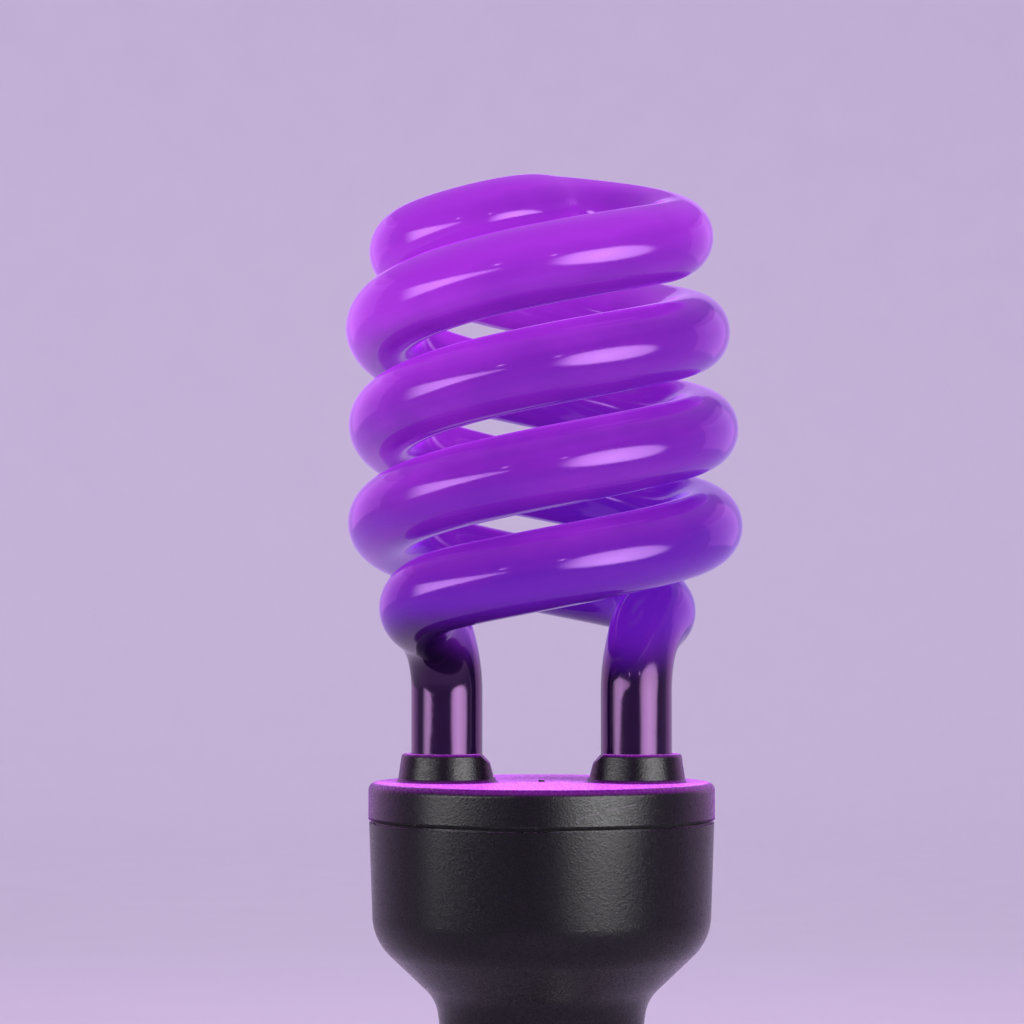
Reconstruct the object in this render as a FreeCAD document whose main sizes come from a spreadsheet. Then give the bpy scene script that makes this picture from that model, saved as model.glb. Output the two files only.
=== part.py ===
import FreeCAD, Part
import math
import os
import re
import Sketcher
from FreeCAD import Placement, Rotation, Vector

# A spiral fluorescent black light lamp: a coiled glass tube on a round cap,
# a ballast housing below it and a medium screw base. Millimetres, +Z towards
# the glass, origin at the middle of the centre contact's outer face.

doc = FreeCAD.newDocument("BlackLightBulb")
sheet = doc.addObject("Spreadsheet::Sheet", "Sizes")

# Driving dimensions, lengths in millimetres and angles in degrees
sizes = {
    # Screw base
    "contactDiameter": 9.5,
    "contactThickness": 2.0,
    "contactRound": 1.2,
    "insulatorTip": 12.6,
    "insulatorTop": 11.0,
    "leadHole": 3.0,
    "shellFoot": 7.0,
    "shellLip": 0.8,
    "shellLipWidth": 0.7,
    "shellBore": 21.8,
    "threadRoot": 24.3,
    "threadCrest": 26.2,
    "threadRidge": 2.1,
    "threadPitch": 3.63,
    "threadStart": 9.4,
    "threadTurns": 3.25,
    "skirtFoot": 22.0,
    "skirtDiameter": 26.0,
    "skirtWall": 0.8,
    "baseHeight": 27.0,
    # Ballast housing
    "housingHeight": 34.75,
    "housingWall": 1.6,
    "plugGap": 3.0,
    "neckDiameter": 28.2,
    "neckTopDiameter": 30.4,
    "neckTopDrop": 25.95,
    "neckRound": 6.0,
    "shoulderDrop": 17.25,
    "shoulderRound": 8.0,
    "rimDiameter": 49.8,
    "shoulderInset": 0.6,
    "seamHeight": 0.5,
    "seamDepth": 0.6,
    "seatDrop": 9.75,
    "seatWidth": 2.0,
    "seatDepth": 1.5,
    "fitGap": 0.15,
    # Tube cap
    "capOverhang": 0.1,
    "capHeight": 5.25,
    "capPlate": 2.0,
    "capLip": 3.0,
    "capLipWall": 1.4,
    "capRound": 1.1,
    "collarDiameter": 14.2,
    "collarHeight": 4.1,
    "collarTopDiameter": 13.0,
    "collarFoot": 0.6,
    "collarRound": 0.5,
    "slopeTopInset": 2.3,
    "slopeBendInset": 0.9,
    "slopeBendDrop": 1.4,
    "slopeFootInset": 0.35,
    "slopeFootRise": 0.7,
    "gateDiameter": 0.9,
    "gateHeight": 0.3,
    "cementGap": 0.55,
    "cementDepth": 4.5,
    # Glass tube
    "tubeDiameter": 11.3,
    "legDiameter": 10.3,
    "legInset": 11.3,
    "legDepth": 9.0,
    "legRise": 13.0,
    "coilLowRadius": 23.1,
    "coilHighRadius": 21.95,
    "coilSway": 0.6,
    "coilPitch": 28.1,
    "coilRise": 30.2,
    "startAngle": 237.0,
    "frontAngle": 270.0,
    "closeAngle": 858.0,
    "crownAngle": 958.5,
    "closeInPower": 1.84,
    "closeUpPower": 5.8,
    "crownLean": 2.75,
    # Ballast
    "boardThickness": 1.6,
    "boardGap": 0.3,
    "storageDiameter": 10.0,
    "storageHeight": 16.0,
    "chokeWidth": 13.0,
    "chokeDepth": 6.0,
    "chokeHeight": 12.0,
    "chokeYoke": 2.0,
    "chokeLeg": 2.8,
    "chokeSide": 2.4,
    "bobbinDepth": 11.0,
    "bobbinWall": 0.6,
    "windingInset": 0.3,
    "ringOuter": 9.0,
    "ringInner": 5.0,
    "ringHeight": 4.0,
    "transistorDiameter": 4.8,
    "transistorFlat": 1.2,
    "transistorHeight": 4.6,
    "resonantLength": 10.0,
    "resonantWidth": 4.5,
    "resonantHeight": 9.0,
    "blockingLength": 8.0,
    "blockingWidth": 4.0,
    "blockingHeight": 8.0,
    "drumDiameter": 6.0,
    "drumWaist": 3.0,
    "drumFlange": 1.0,
    "drumHeight": 8.0,
    "diodeDiameter": 2.6,
    "diodeLength": 5.0,
    "fuseDiameter": 3.2,
    "fuseLength": 9.0,
    "fuseFoot": 15.0,
    "leadDiameter": 0.8,
    "shellLeadAlong": 5.5,
    "leadDrop": 4.0,
    "leadAbove": 1.4,
    "filamentDiameter": 0.5,
    "filamentSpread": 2.2,
    "pinWidth": 0.8,
    "pinHeight": 3.6,
    "pinReach": 4.1,
    # Places of the ballast's parts: shares of the board's radius, or the neck's for the storage capacitor
    "storageAcrossShare": 0.395,
    "storageAlongShare": -0.296,
    "chokeAcrossShare": -0.348,
    "ringAcrossShare": 0.217,
    "ringAlongShare": 0.391,
    "upperTransistorAcrossShare": 0.565,
    "upperTransistorAlongShare": 0.304,
    "lowerTransistorAcrossShare": 0.391,
    "lowerTransistorAlongShare": -0.565,
    "resonantAcrossShare": -0.261,
    "resonantAlongShare": 0.478,
    "blockingAcrossShare": -0.261,
    "blockingAlongShare": -0.457,
    "drumAcrossShare": 0.661,
    "drumAlongShare": 0.022,
    "diodeSpacingShare": 0.304,
    "diodeAcrossShare": -0.752,
    "diodeAlongShare": -0.696,
}
for row, (name, number) in enumerate(sizes.items(), start=1):
    sheet.set("A%d" % row, name)
    sheet.set("B%d" % row, str(number))
    sheet.setAlias("B%d" % row, name)
doc.recompute()

# Heights and radii that several pieces share, written as formulas of the cells
seamLevel = "(baseHeight + housingHeight)"
capLevel = "(baseHeight + housingHeight + capHeight)"
plateLevel = "(baseHeight + housingHeight + capHeight - capPlate)"
neckTopLevel = "(baseHeight + housingHeight - neckTopDrop)"
shoulderLevel = "(baseHeight + housingHeight - shoulderDrop)"
seatLevel = "(baseHeight + housingHeight - seatDrop)"
boardLevel = "(baseHeight + housingHeight - seatDrop + boardThickness)"
rimInner = "(rimDiameter / 2 - housingWall)"
shoulderOuter = "(rimDiameter / 2 - shoulderInset)"
capOuter = "(rimDiameter / 2 + capOverhang)"
legMiddle = "(rimDiameter / 2 + capOverhang - legInset)"
boardRadius = "(rimDiameter / 2 - housingWall - boardGap)"
lipOuter = "(rimDiameter / 2 - housingWall - fitGap)"
plugOuter = "(shellBore / 2 - fitGap)"
plugUpper = "(skirtDiameter / 2 - skirtWall - fitGap)"
plugFoot = "(insulatorTop + plugGap)"
legFoot = "(baseHeight + housingHeight + capHeight - legDepth)"

nodes = []


def cells(formula):
    return re.sub(r"\b[A-Za-z]\w*\b(?!\()", r"Sizes.\g<0>", formula)


def value(formula):
    return float(sheet.evalExpression(formula))


def bind(item, **formulas):
    for name, formula in formulas.items():
        item.setExpression(name, cells(formula))


def place(item, x, y, z, rotation=None):
    item.Placement = Placement(Vector(), rotation or Rotation())
    for axis, formula in zip("xyz", (x, y, z)):
        item.setExpression("Placement.Base." + axis, cells(formula))


def node(item):
    nodes.append(item)
    return item


# Sketch and body helpers
def newSketch(body, name, role):
    sketch = body.newObject("Sketcher::SketchObject", name)
    plane = next(item for item in body.Origin.OriginFeatures if item.Role == role)
    sketch.AttachmentSupport = [(plane, "")]
    sketch.MapMode = "FlatFace"
    return sketch


def pinPoint(sketch, geometry, point, across, up):
    for kind, axis, formula in (("DistanceX", -2, across), ("DistanceY", -1, up)):
        if formula == "0":
            sketch.addConstraint(Sketcher.Constraint("PointOnObject", geometry, point, axis))
            continue
        rule = Sketcher.Constraint(kind, -1, 1, geometry, point, value(formula))
        index = sketch.addConstraint(rule)
        sketch.setExpression("Constraints[%d]" % index, cells(formula))


def outline(sketch, corners):
    spots = [Vector(value(across), value(up), 0) for across, up in corners]
    count = len(spots)
    for index in range(count):
        sketch.addGeometry(Part.LineSegment(spots[index], spots[(index + 1) % count]), False)
    for index in range(count):
        sketch.addConstraint(Sketcher.Constraint("Coincident", index, 2, (index + 1) % count, 1))
    for index, (across, up) in enumerate(corners):
        pinPoint(sketch, index, 1, across, up)


def turnedBody(label, corners):
    body = doc.addObject("PartDesign::Body", label)
    sketch = newSketch(body, label + "_profile", "XZ_Plane")
    outline(sketch, corners)
    turned = body.newObject("PartDesign::Revolution", label + "_turned")
    turned.Profile = sketch
    turned.ReferenceAxis = (sketch, ["V_Axis"])
    turned.Angle = 360
    doc.recompute()
    return body


def roundEdges(body, name, radius, rings):
    base = body.Tip
    wanted = [(value(ring), value(level)) for ring, level in rings]
    chosen = []
    for index, edge in enumerate(base.Shape.Edges, start=1):
        box = edge.BoundBox
        spot = (max(box.XLength, box.YLength) / 2, box.Center.z)
        if box.ZLength < 0.01 and any(math.dist(spot, ring) < 0.01 for ring in wanted):
            chosen.append("Edge%d" % index)
    fillet = body.newObject("PartDesign::Fillet", name)
    fillet.Base = (base, chosen)
    bind(fillet, Radius=radius)
    doc.recompute()


def circlesSketch(body, name, level, circles):
    sketch = newSketch(body, name, "XY_Plane")
    sketch.setExpression("AttachmentOffset.Base.z", cells(level))
    for index, (centre, side, diameter) in enumerate(circles):
        spot = Vector(side * value(centre), 0, 0)
        sketch.addGeometry(Part.Circle(spot, Vector(0, 0, 1), value(diameter) / 2), False)
        size = sketch.addConstraint(Sketcher.Constraint("Diameter", index, value(diameter)))
        sketch.setExpression("Constraints[%d]" % size, cells(diameter))
        sketch.addConstraint(Sketcher.Constraint("PointOnObject", index, 3, -1))
        if centre == "0":
            sketch.addConstraint(Sketcher.Constraint("PointOnObject", index, 3, -2))
            continue
        ends = (-1, 1, index, 3) if side > 0 else (index, 3, -1, 1)
        reach = sketch.addConstraint(Sketcher.Constraint("DistanceX", *ends, value(centre)))
        sketch.setExpression("Constraints[%d]" % reach, cells(centre))
    return sketch


# Plain solids, with their sizes and places bound to the sheet
def box(label, length, width, height, x, y, z):
    item = doc.addObject("Part::Box", label)
    bind(item, Length=length, Width=width, Height=height)
    place(item, "%s - (%s) / 2" % (x, length), "%s - (%s) / 2" % (y, width), z)
    return item


def cylinder(label, diameter, height, x, y, z, rotation=None):
    item = doc.addObject("Part::Cylinder", label)
    bind(item, Radius="(%s) / 2" % diameter, Height=height)
    place(item, x, y, z, rotation)
    return item


def cut(label, base, tool):
    item = doc.addObject("Part::Cut", label)
    item.Base = base
    item.Tool = tool
    return item


def tube(label, outer, inner, height, x, y, z):
    wall = cylinder(label + "_wall", outer, height, x, y, z)
    bore = cylinder(label + "_bore", inner, height, x, y, z)
    return cut(label, wall, bore)


# Routes of tangent arcs: two arcs join each pair of stops, along the stops' headings
def arcBetween(start, corner, end):
    weight = math.cos((corner - start).getAngle(end - corner) / 2)
    middle = (start + corner * (2 * weight) + end) * (1 / (2 + 2 * weight))
    return Part.Arc(start, middle, end).toShape()


def arcRoute(stops):
    edges = []
    for (start, leaving), (end, arriving) in zip(stops, stops[1:]):
        gap = end - start
        along = gap.dot(leaving + arriving)
        bend = 2 * (1 - leaving.dot(arriving))
        reach = (math.sqrt(along ** 2 + bend * gap.dot(gap)) - along) / bend
        first = start + leaving * reach
        second = end - arriving * reach
        middle = (first + second) * 0.5
        edges.append(arcBetween(start, first, middle))
        edges.append(arcBetween(middle, second, end))
    return edges


def sweep(label, stops, diameter):
    route = doc.addObject("Part::Feature", label + "_route")
    route.Shape = Part.Wire(arcRoute(stops))
    section = doc.addObject("Part::Circle", label + "_section")
    start, heading = stops[0]
    section.Placement = Placement(start, Rotation(Vector(0, 0, 1), heading))
    bind(section, Radius="(%s) / 2" % diameter)
    item = doc.addObject("Part::Sweep", label)
    item.Sections = [section]
    item.Spine = (route, ["Edge%d" % (n + 1) for n in range(len(route.Shape.Edges))])
    item.Solid = True
    item.Frenet = False
    return item


# Centre contact: a domed brass button
contact = node(turnedBody("centre_contact", [
    ("0", "0"),
    ("contactDiameter / 2", "0"),
    ("contactDiameter / 2", "contactThickness"),
    ("0", "contactThickness"),
]))
roundEdges(contact, "contact_dome", "contactRound", [("contactDiameter / 2", "0")])

# Base insulator: a cone that carries the contact and seats on the shell's lip
lipRadius = "(shellBore / 2 - shellLipWidth)"
node(turnedBody("base_insulator", [
    ("leadHole / 2", "contactThickness"),
    ("insulatorTip / 2", "contactThickness"),
    (lipRadius + " - fitGap", "shellFoot"),
    (lipRadius + " - fitGap", "shellFoot + shellLip"),
    ("shellBore / 2 - fitGap", "shellFoot + shellLip"),
    ("shellBore / 2 - fitGap", "insulatorTop"),
    ("leadHole / 2", "insulatorTop"),
]))

# Screw shell: a turned sleeve with an inner lip and a plain skirt, and the rolled thread on it
shellSleeve = turnedBody("shell_sleeve", [
    (lipRadius, "shellFoot"),
    ("threadRoot / 2 - shellLip", "shellFoot"),
    ("threadRoot / 2", "shellFoot + shellLip"),
    ("threadRoot / 2", "skirtFoot"),
    ("skirtDiameter / 2", "skirtFoot + (skirtDiameter - threadRoot) / 2"),
    ("skirtDiameter / 2", "baseHeight"),
    ("skirtDiameter / 2 - skirtWall", "baseHeight"),
    ("skirtDiameter / 2 - skirtWall", "skirtFoot + (skirtDiameter - threadRoot) / 2"),
    ("shellBore / 2", "skirtFoot"),
    ("shellBore / 2", "shellFoot + shellLip"),
    (lipRadius, "shellFoot + shellLip"),
])


def threadStop(turn):
    radius = value("(threadCrest - threadRidge) / 2")
    climb = value("threadPitch") / (2 * math.pi)
    angle = 2 * math.pi * turn
    spot = Vector(radius * math.cos(angle), radius * math.sin(angle), value("threadStart") + climb * angle)
    heading = Vector(-radius * math.sin(angle), radius * math.cos(angle), climb)
    return spot, heading.normalize()


stopsPerTurn = 6
threadSteps = math.ceil(value("threadTurns") * stopsPerTurn)
threadStops = [threadStop(value("threadTurns") * step / threadSteps) for step in range(threadSteps + 1)]
shell = doc.addObject("Part::Fuse", "screw_shell")
shell.Base = shellSleeve
shell.Tool = sweep("thread_ridge", threadStops, "threadRidge")
node(shell)

# Ballast housing: neck plug, flared neck, shoulder, wall with the board's seat, rim with the seam's rebate
housing = node(turnedBody("ballast_housing", [
    (plugOuter + " - housingWall", plugFoot),
    (plugOuter, plugFoot),
    (plugOuter, "skirtFoot + fitGap"),
    (plugUpper, "skirtFoot + fitGap + (skirtDiameter - threadRoot) / 2"),
    (plugUpper, "baseHeight"),
    ("neckDiameter / 2", "baseHeight"),
    ("neckTopDiameter / 2", neckTopLevel),
    (shoulderOuter, shoulderLevel),
    ("rimDiameter / 2", seamLevel + " - seamHeight"),
    ("rimDiameter / 2 - seamDepth", seamLevel + " - seamHeight"),
    ("rimDiameter / 2 - seamDepth", seamLevel),
    (rimInner, seamLevel),
    (rimInner, seatLevel),
    (rimInner + " - seatWidth", seatLevel),
    (rimInner + " - seatWidth", seatLevel + " - seatDepth"),
    (shoulderOuter + " - housingWall", seatLevel + " - seatDepth - seatWidth"),
    (shoulderOuter + " - housingWall", shoulderLevel + " + housingWall / 2"),
    ("neckTopDiameter / 2 - housingWall", neckTopLevel + " + housingWall / 2"),
    (plugUpper + " - housingWall", "baseHeight + housingWall"),
    (plugUpper + " - housingWall", "skirtFoot + (skirtDiameter - threadRoot) / 2 + housingWall"),
    (plugOuter + " - housingWall", "skirtFoot + housingWall"),
]))
roundEdges(housing, "shoulder_round", "shoulderRound", [(shoulderOuter, shoulderLevel)])
roundEdges(housing, "neck_round", "neckRound", [("neckTopDiameter / 2", neckTopLevel)])

# Tube cap: a plate with a skirt and a lip, two drafted collars with sloped inner sides, bores and a gate mark
cap = node(turnedBody("tube_cap", [
    ("0", plateLevel),
    (lipOuter + " - capLipWall", plateLevel),
    (lipOuter + " - capLipWall", seamLevel + " - capLip"),
    (lipOuter, seamLevel + " - capLip"),
    (lipOuter, seamLevel),
    (capOuter, seamLevel),
    (capOuter, capLevel),
    ("0", capLevel),
]))
roundEdges(cap, "cap_round", "capRound", [(capOuter, capLevel)])
legSides = (-1, 1)
collars = cap.newObject("PartDesign::Pad", "collars")
collars.Profile = circlesSketch(cap, "collar_circles", capLevel,
                                [(legMiddle, side, "collarDiameter") for side in legSides])
bind(collars, Length="collarHeight",
     TaperAngle="-atan((collarDiameter - collarTopDiameter) / 2 / collarHeight)")
doc.recompute()
roundEdges(cap, "collar_foot", "collarFoot", [("collarDiameter / 2", capLevel)])
roundEdges(cap, "collar_round", "collarRound", [("collarTopDiameter / 2", capLevel + " + collarHeight")])
collarInner = "(%s - collarDiameter / 2)" % legMiddle
collarTop = "(%s + collarHeight)" % capLevel
innerSlope = cap.newObject("PartDesign::Pocket", "collar_slope")
innerSlope.Profile = newSketch(cap, "slope_profile", "XZ_Plane")
outline(innerSlope.Profile[0], [
    (collarInner + " + slopeTopInset", collarTop),
    (collarInner + " + slopeTopInset", collarTop + " + collarRound"),
    (collarInner + " - collarFoot", collarTop + " + collarRound"),
    (collarInner + " - collarFoot", capLevel + " + slopeFootRise"),
    (collarInner + " + slopeFootInset", capLevel + " + slopeFootRise"),
    (collarInner + " + slopeBendInset", collarTop + " - slopeBendDrop"),
])
innerSlope.SideType = "Symmetric"
bind(innerSlope, Length="2 * collarDiameter")
doc.recompute()
slopePair = cap.newObject("PartDesign::Mirrored", "collar_slopes")
slopePair.Originals = [innerSlope]
mirrorPlane = next(item for item in cap.Origin.OriginFeatures if item.Role == "YZ_Plane")
slopePair.MirrorPlane = (mirrorPlane, [""])
cap.Tip = slopePair
doc.recompute()
gate = cap.newObject("PartDesign::Pad", "gate_mark")
gate.Profile = circlesSketch(cap, "gate_circle", capLevel, [("0", 1, "gateDiameter")])
bind(gate, Length="gateHeight")
doc.recompute()
bores = cap.newObject("PartDesign::Pocket", "leg_bores")
bores.Profile = circlesSketch(cap, "bore_circles", collarTop,
                              [(legMiddle, side, "legDiameter + 2 * fitGap") for side in legSides])
bind(bores, Length="collarHeight + capPlate")
doc.recompute()

# Tube cement: a ring of potting round each leg, under the cap's plate and clear of its lip
cementRadius = "(%s - capLipWall - cementGap - %s)" % (lipOuter, legMiddle)
for side, name in zip(("-1", "1"), ("left", "right")):
    node(tube(name + "_tube_cement", "2 * " + cementRadius, "legDiameter", "cementDepth",
              "%s * %s" % (side, legMiddle), "0", plateLevel + " - cementDepth"))


# Glass tube: two strands wind up from the legs as one double helix, sway a little and close over the crown
def coilSpot(angle, side):
    closing = value("crownAngle - closeAngle")
    share = max(0.0, (angle - value("closeAngle")) / closing)
    wound = min(angle, value("closeAngle")) - value("frontAngle")
    slope = value("(coilHighRadius - coilLowRadius) / (closeAngle - frontAngle)")
    radius = (value("coilLowRadius") + slope * wound) * (1 - share ** value("closeInPower"))
    power = value("closeUpPower")
    climb = value("coilPitch") / 360 * (wound + closing * (share - share ** power / power))
    turn = math.radians(angle)
    across = side * radius * math.cos(turn)
    depth = side * radius * math.sin(turn)
    lean = value("crownLean") * across / value("coilHighRadius") * share ** 2 * (3 - 2 * share)
    along = value("1 / (crownAngle - startAngle)") * (angle - value("startAngle"))
    sway = value("coilSway") * math.sin(2 * math.pi * along)
    return Vector(across + sway, depth, value(capLevel) + value("coilRise") + climb + lean)


def strandStops(side):
    first = value("startAngle")
    close = value("closeAngle")
    last = value("crownAngle")
    legTop = Vector(-side * value(legMiddle), 0, value(capLevel) + value("legRise"))
    stops = [(legTop, Vector(0, 0, 1))]
    coilSteps = 12
    crownSteps = 4
    nudge = 0.01
    angles = [first + (close - first) * step / coilSteps for step in range(coilSteps)]
    angles += [close + (last - close) * step / crownSteps for step in range(crownSteps + 1)]
    for angle in angles:
        ahead = min(angle + nudge, last)
        heading = coilSpot(ahead, side) - coilSpot(ahead - 2 * nudge, side)
        stops.append((coilSpot(angle, side), heading.normalize()))
    return stops


ascending = strandStops(1)
descending = [(spot, heading * -1) for spot, heading in reversed(strandStops(-1))]
crown = (ascending[-1][0], (ascending[-1][1] + descending[0][1]).normalize())
tubeParts = [sweep("tube_coil", ascending[:-1] + [crown] + descending[1:], "tubeDiameter")]
for side, name in zip(("-1", "1"), ("left", "right")):
    legAcross = "%s * %s" % (side, legMiddle)
    leg = cylinder(name + "_leg", "legDiameter", "legDepth + collarHeight", legAcross, "0", legFoot)
    tubeParts.append(leg)
    flare = doc.addObject("Part::Cone", name + "_leg_flare")
    bind(flare, Radius1="legDiameter / 2", Radius2="tubeDiameter / 2", Height="legRise - collarHeight")
    place(flare, legAcross, "0", capLevel + " + collarHeight")
    tubeParts.append(flare)
glass = doc.addObject("Part::MultiFuse", "spiral_tube")
glass.Shapes = tubeParts
node(glass)

# Circuit board: a disc on the housing's seat
node(cylinder("circuit_board", "2 * " + boardRadius, "boardThickness", "0", "0", seatLevel))


def boardSpot(name):
    return tuple("%s%sShare * %s" % (name, axis, boardRadius) for axis in ("Across", "Along"))


# Storage capacitor: an upright can under the board that reaches down into the neck
node(cylinder("storage_capacitor", "storageDiameter", "storageHeight",
              "storageAcrossShare * neckTopDiameter / 2", "storageAlongShare * neckTopDiameter / 2",
              seatLevel + " - storageHeight"))

# Choke: a ferrite core with two windows, a flanged bobbin on its middle leg and the winding
chokeFoot = seatLevel + " - chokeHeight"
chokeAcross = "chokeAcrossShare * " + boardRadius
chokeSpot = (chokeAcross, "0")
windowWidth = "((chokeWidth - chokeLeg) / 2 - chokeSide)"
windowHeight = "(chokeHeight - 2 * chokeYoke)"
windowFoot = chokeFoot + " + chokeYoke"
spanWidth = "(chokeWidth - 2 * chokeSide)"
windows = doc.addObject("Part::MultiFuse", "choke_windows")
windows.Shapes = [
    box("choke_window_" + name, windowWidth, "chokeDepth", windowHeight,
        "%s + %s * (chokeLeg + %s) / 2" % (chokeAcross, side, windowWidth), "0", windowFoot)
    for side, name in zip(("-1", "1"), ("left", "right"))
]
coreBlock = box("choke_block", "chokeWidth", "chokeDepth", "chokeHeight", *chokeSpot, chokeFoot)
node(cut("choke_core", coreBlock, windows))

spoolWidth = "(chokeLeg + 2 * bobbinWall)"
spoolDepth = "(chokeDepth + 2 * bobbinWall)"
bobbinSolid = doc.addObject("Part::MultiFuse", "bobbin_solid")
bobbinSolid.Shapes = [
    box("bobbin_foot", spanWidth, "bobbinDepth", "bobbinWall", *chokeSpot, windowFoot),
    box("bobbin_spool", spoolWidth, spoolDepth, windowHeight, *chokeSpot, windowFoot),
    box("bobbin_head", spanWidth, "bobbinDepth", "bobbinWall", *chokeSpot,
        windowFoot + " + %s - bobbinWall" % windowHeight),
]
legHole = box("bobbin_hole", "chokeLeg", "chokeDepth", windowHeight, *chokeSpot, windowFoot)
node(cut("choke_bobbin", bobbinSolid, legHole))

windingHeight = "(chokeHeight - 2 * chokeYoke - 2 * bobbinWall)"
windingFoot = windowFoot + " + bobbinWall"
windingBlock = box("winding_block", spanWidth + " - 2 * windingInset", "bobbinDepth - 2 * windingInset",
                   windingHeight, *chokeSpot, windingFoot)
windingHole = box("winding_hole", spoolWidth, spoolDepth, windingHeight, *chokeSpot, windingFoot)
node(cut("choke_winding", windingBlock, windingHole))

# Drive ring: the ferrite ring of the drive transformer
node(tube("drive_ring", "ringOuter", "ringInner", "ringHeight", *boardSpot("ring"),
          seatLevel + " - ringHeight"))

# Transistors: round cases with one flat face
for name in ("upper", "lower"):
    across, along = boardSpot(name + "Transistor")
    label = name + "_transistor"
    case = cylinder(label + "_case", "transistorDiameter", "transistorHeight", across, along,
                    seatLevel + " - transistorHeight")
    flat = box(label + "_flat", "transistorDiameter", "transistorFlat", "transistorHeight", across,
               along + " + transistorDiameter / 2 - transistorFlat / 2", seatLevel + " - transistorHeight")
    node(cut(label, case, flat))

# Film capacitors: upright blocks
for name in ("resonant", "blocking"):
    node(box(name + "_capacitor", name + "Length", name + "Width", name + "Height", *boardSpot(name),
             "%s - %sHeight" % (seatLevel, name)))

# Input choke: a drum core and the winding in its waist
drumFoot = seatLevel + " - drumHeight"
drumSpot = boardSpot("drum")
waistHeight = "(drumHeight - 2 * drumFlange)"
drumWindow = tube("drum_window", "drumDiameter", "drumWaist", waistHeight, *drumSpot,
                  drumFoot + " + drumFlange")
drumBlock = cylinder("drum_block", "drumDiameter", "drumHeight", *drumSpot, drumFoot)
node(cut("input_choke_core", drumBlock, drumWindow))
node(tube("input_choke_winding", "drumDiameter - 2 * windingInset", "drumWaist", waistHeight, *drumSpot,
          drumFoot + " + drumFlange"))

# Rectifier diodes: two pairs of small lying cylinders against the board
diodeLevel = seatLevel + " - diodeDiameter / 2"
diodeAcross, diodeAlong = boardSpot("diode")
for side, first, second in (("-1", "1", "3"), ("1", "2", "4")):
    end = "%s * diodeSpacingShare * %s / 2 - diodeLength / 2" % (side, boardRadius)
    node(cylinder("rectifier_diode_" + first, "diodeDiameter", "diodeLength", diodeAcross, end, diodeLevel,
                  Rotation(Vector(0, 0, 1), Vector(0, 1, 0))))
    node(cylinder("rectifier_diode_" + second, "diodeDiameter", "diodeLength", end, diodeAlong, diodeLevel,
                  Rotation(Vector(0, 0, 1), Vector(1, 0, 0))))

# Supply leads: the contact's lead with its fuse resistor on the axis, and the screw shell's lead
node(cylinder("fuse_resistor", "fuseDiameter", "fuseLength", "0", "0", "fuseFoot"))
node(cylinder("contact_lead", "leadDiameter", "fuseFoot - contactThickness", "0", "0", "contactThickness"))
node(cylinder("fuse_lead", "leadDiameter", seatLevel + " - fuseFoot - fuseLength", "0", "0",
              "fuseFoot + fuseLength"))

leadBend = plugFoot + " + leadDrop"
shellLeadBend = sweep("shell_lead_bend", [
    (Vector(0, value("shellLeadAlong"), value(leadBend)), Vector(0, 0, -1)),
    (Vector(0, value("shellBore / 2"), value("insulatorTop + leadAbove")), Vector(0, 1, 0)),
], "leadDiameter")
shellLeadRun = cylinder("shell_lead_run", "leadDiameter", "%s - (%s)" % (seatLevel, leadBend),
                        "0", "shellLeadAlong", leadBend)
shellLead = doc.addObject("Part::Fuse", "shell_lead")
shellLead.Base = shellLeadRun
shellLead.Tool = shellLeadBend
node(shellLead)

# Filament leads: from each leg's end to a square pin on the board
corners = [(across, along) for across in (-1, 1) for along in (-1, 1)]
for number, (across, along) in enumerate(corners, start=1):
    pinAcross = "%d * (%s + pinReach)" % (across, legMiddle)
    pinAlong = "%d * filamentSpread" % along
    node(box("wrap_pin_%d" % number, "pinWidth", "pinWidth", "pinHeight", pinAcross, pinAlong, boardLevel))
    start = Vector(across * value(legMiddle), value(pinAlong), value(legFoot))
    end = Vector(across * value(legMiddle + " + pinReach - pinWidth / 2"), value(pinAlong),
                 value(boardLevel + " + pinHeight / 2"))
    node(sweep("filament_lead_%d" % number, [(start, Vector(0, 0, -1)), (end, Vector(across, 0, 0))],
               "filamentDiameter"))

# Check every object and write each piece to its own file
doc.recompute()
for item in doc.Objects:
    if "Invalid" in item.State or "Error" in item.State:
        raise RuntimeError("%s: %s" % (item.Label, item.State))
for item in nodes:
    if item.Shape.isNull() or not item.Shape.isValid() or len(item.Shape.Solids) != 1:
        raise RuntimeError("%s has no single valid solid" % item.Label)
os.makedirs("parts", exist_ok=True)
for item in nodes:
    item.Shape.exportStep("parts/%s.step" % item.Label)
    print(item.Label, round(item.Shape.Volume, 2))
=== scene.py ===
import math
import bpy
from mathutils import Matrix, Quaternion, Vector


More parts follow.
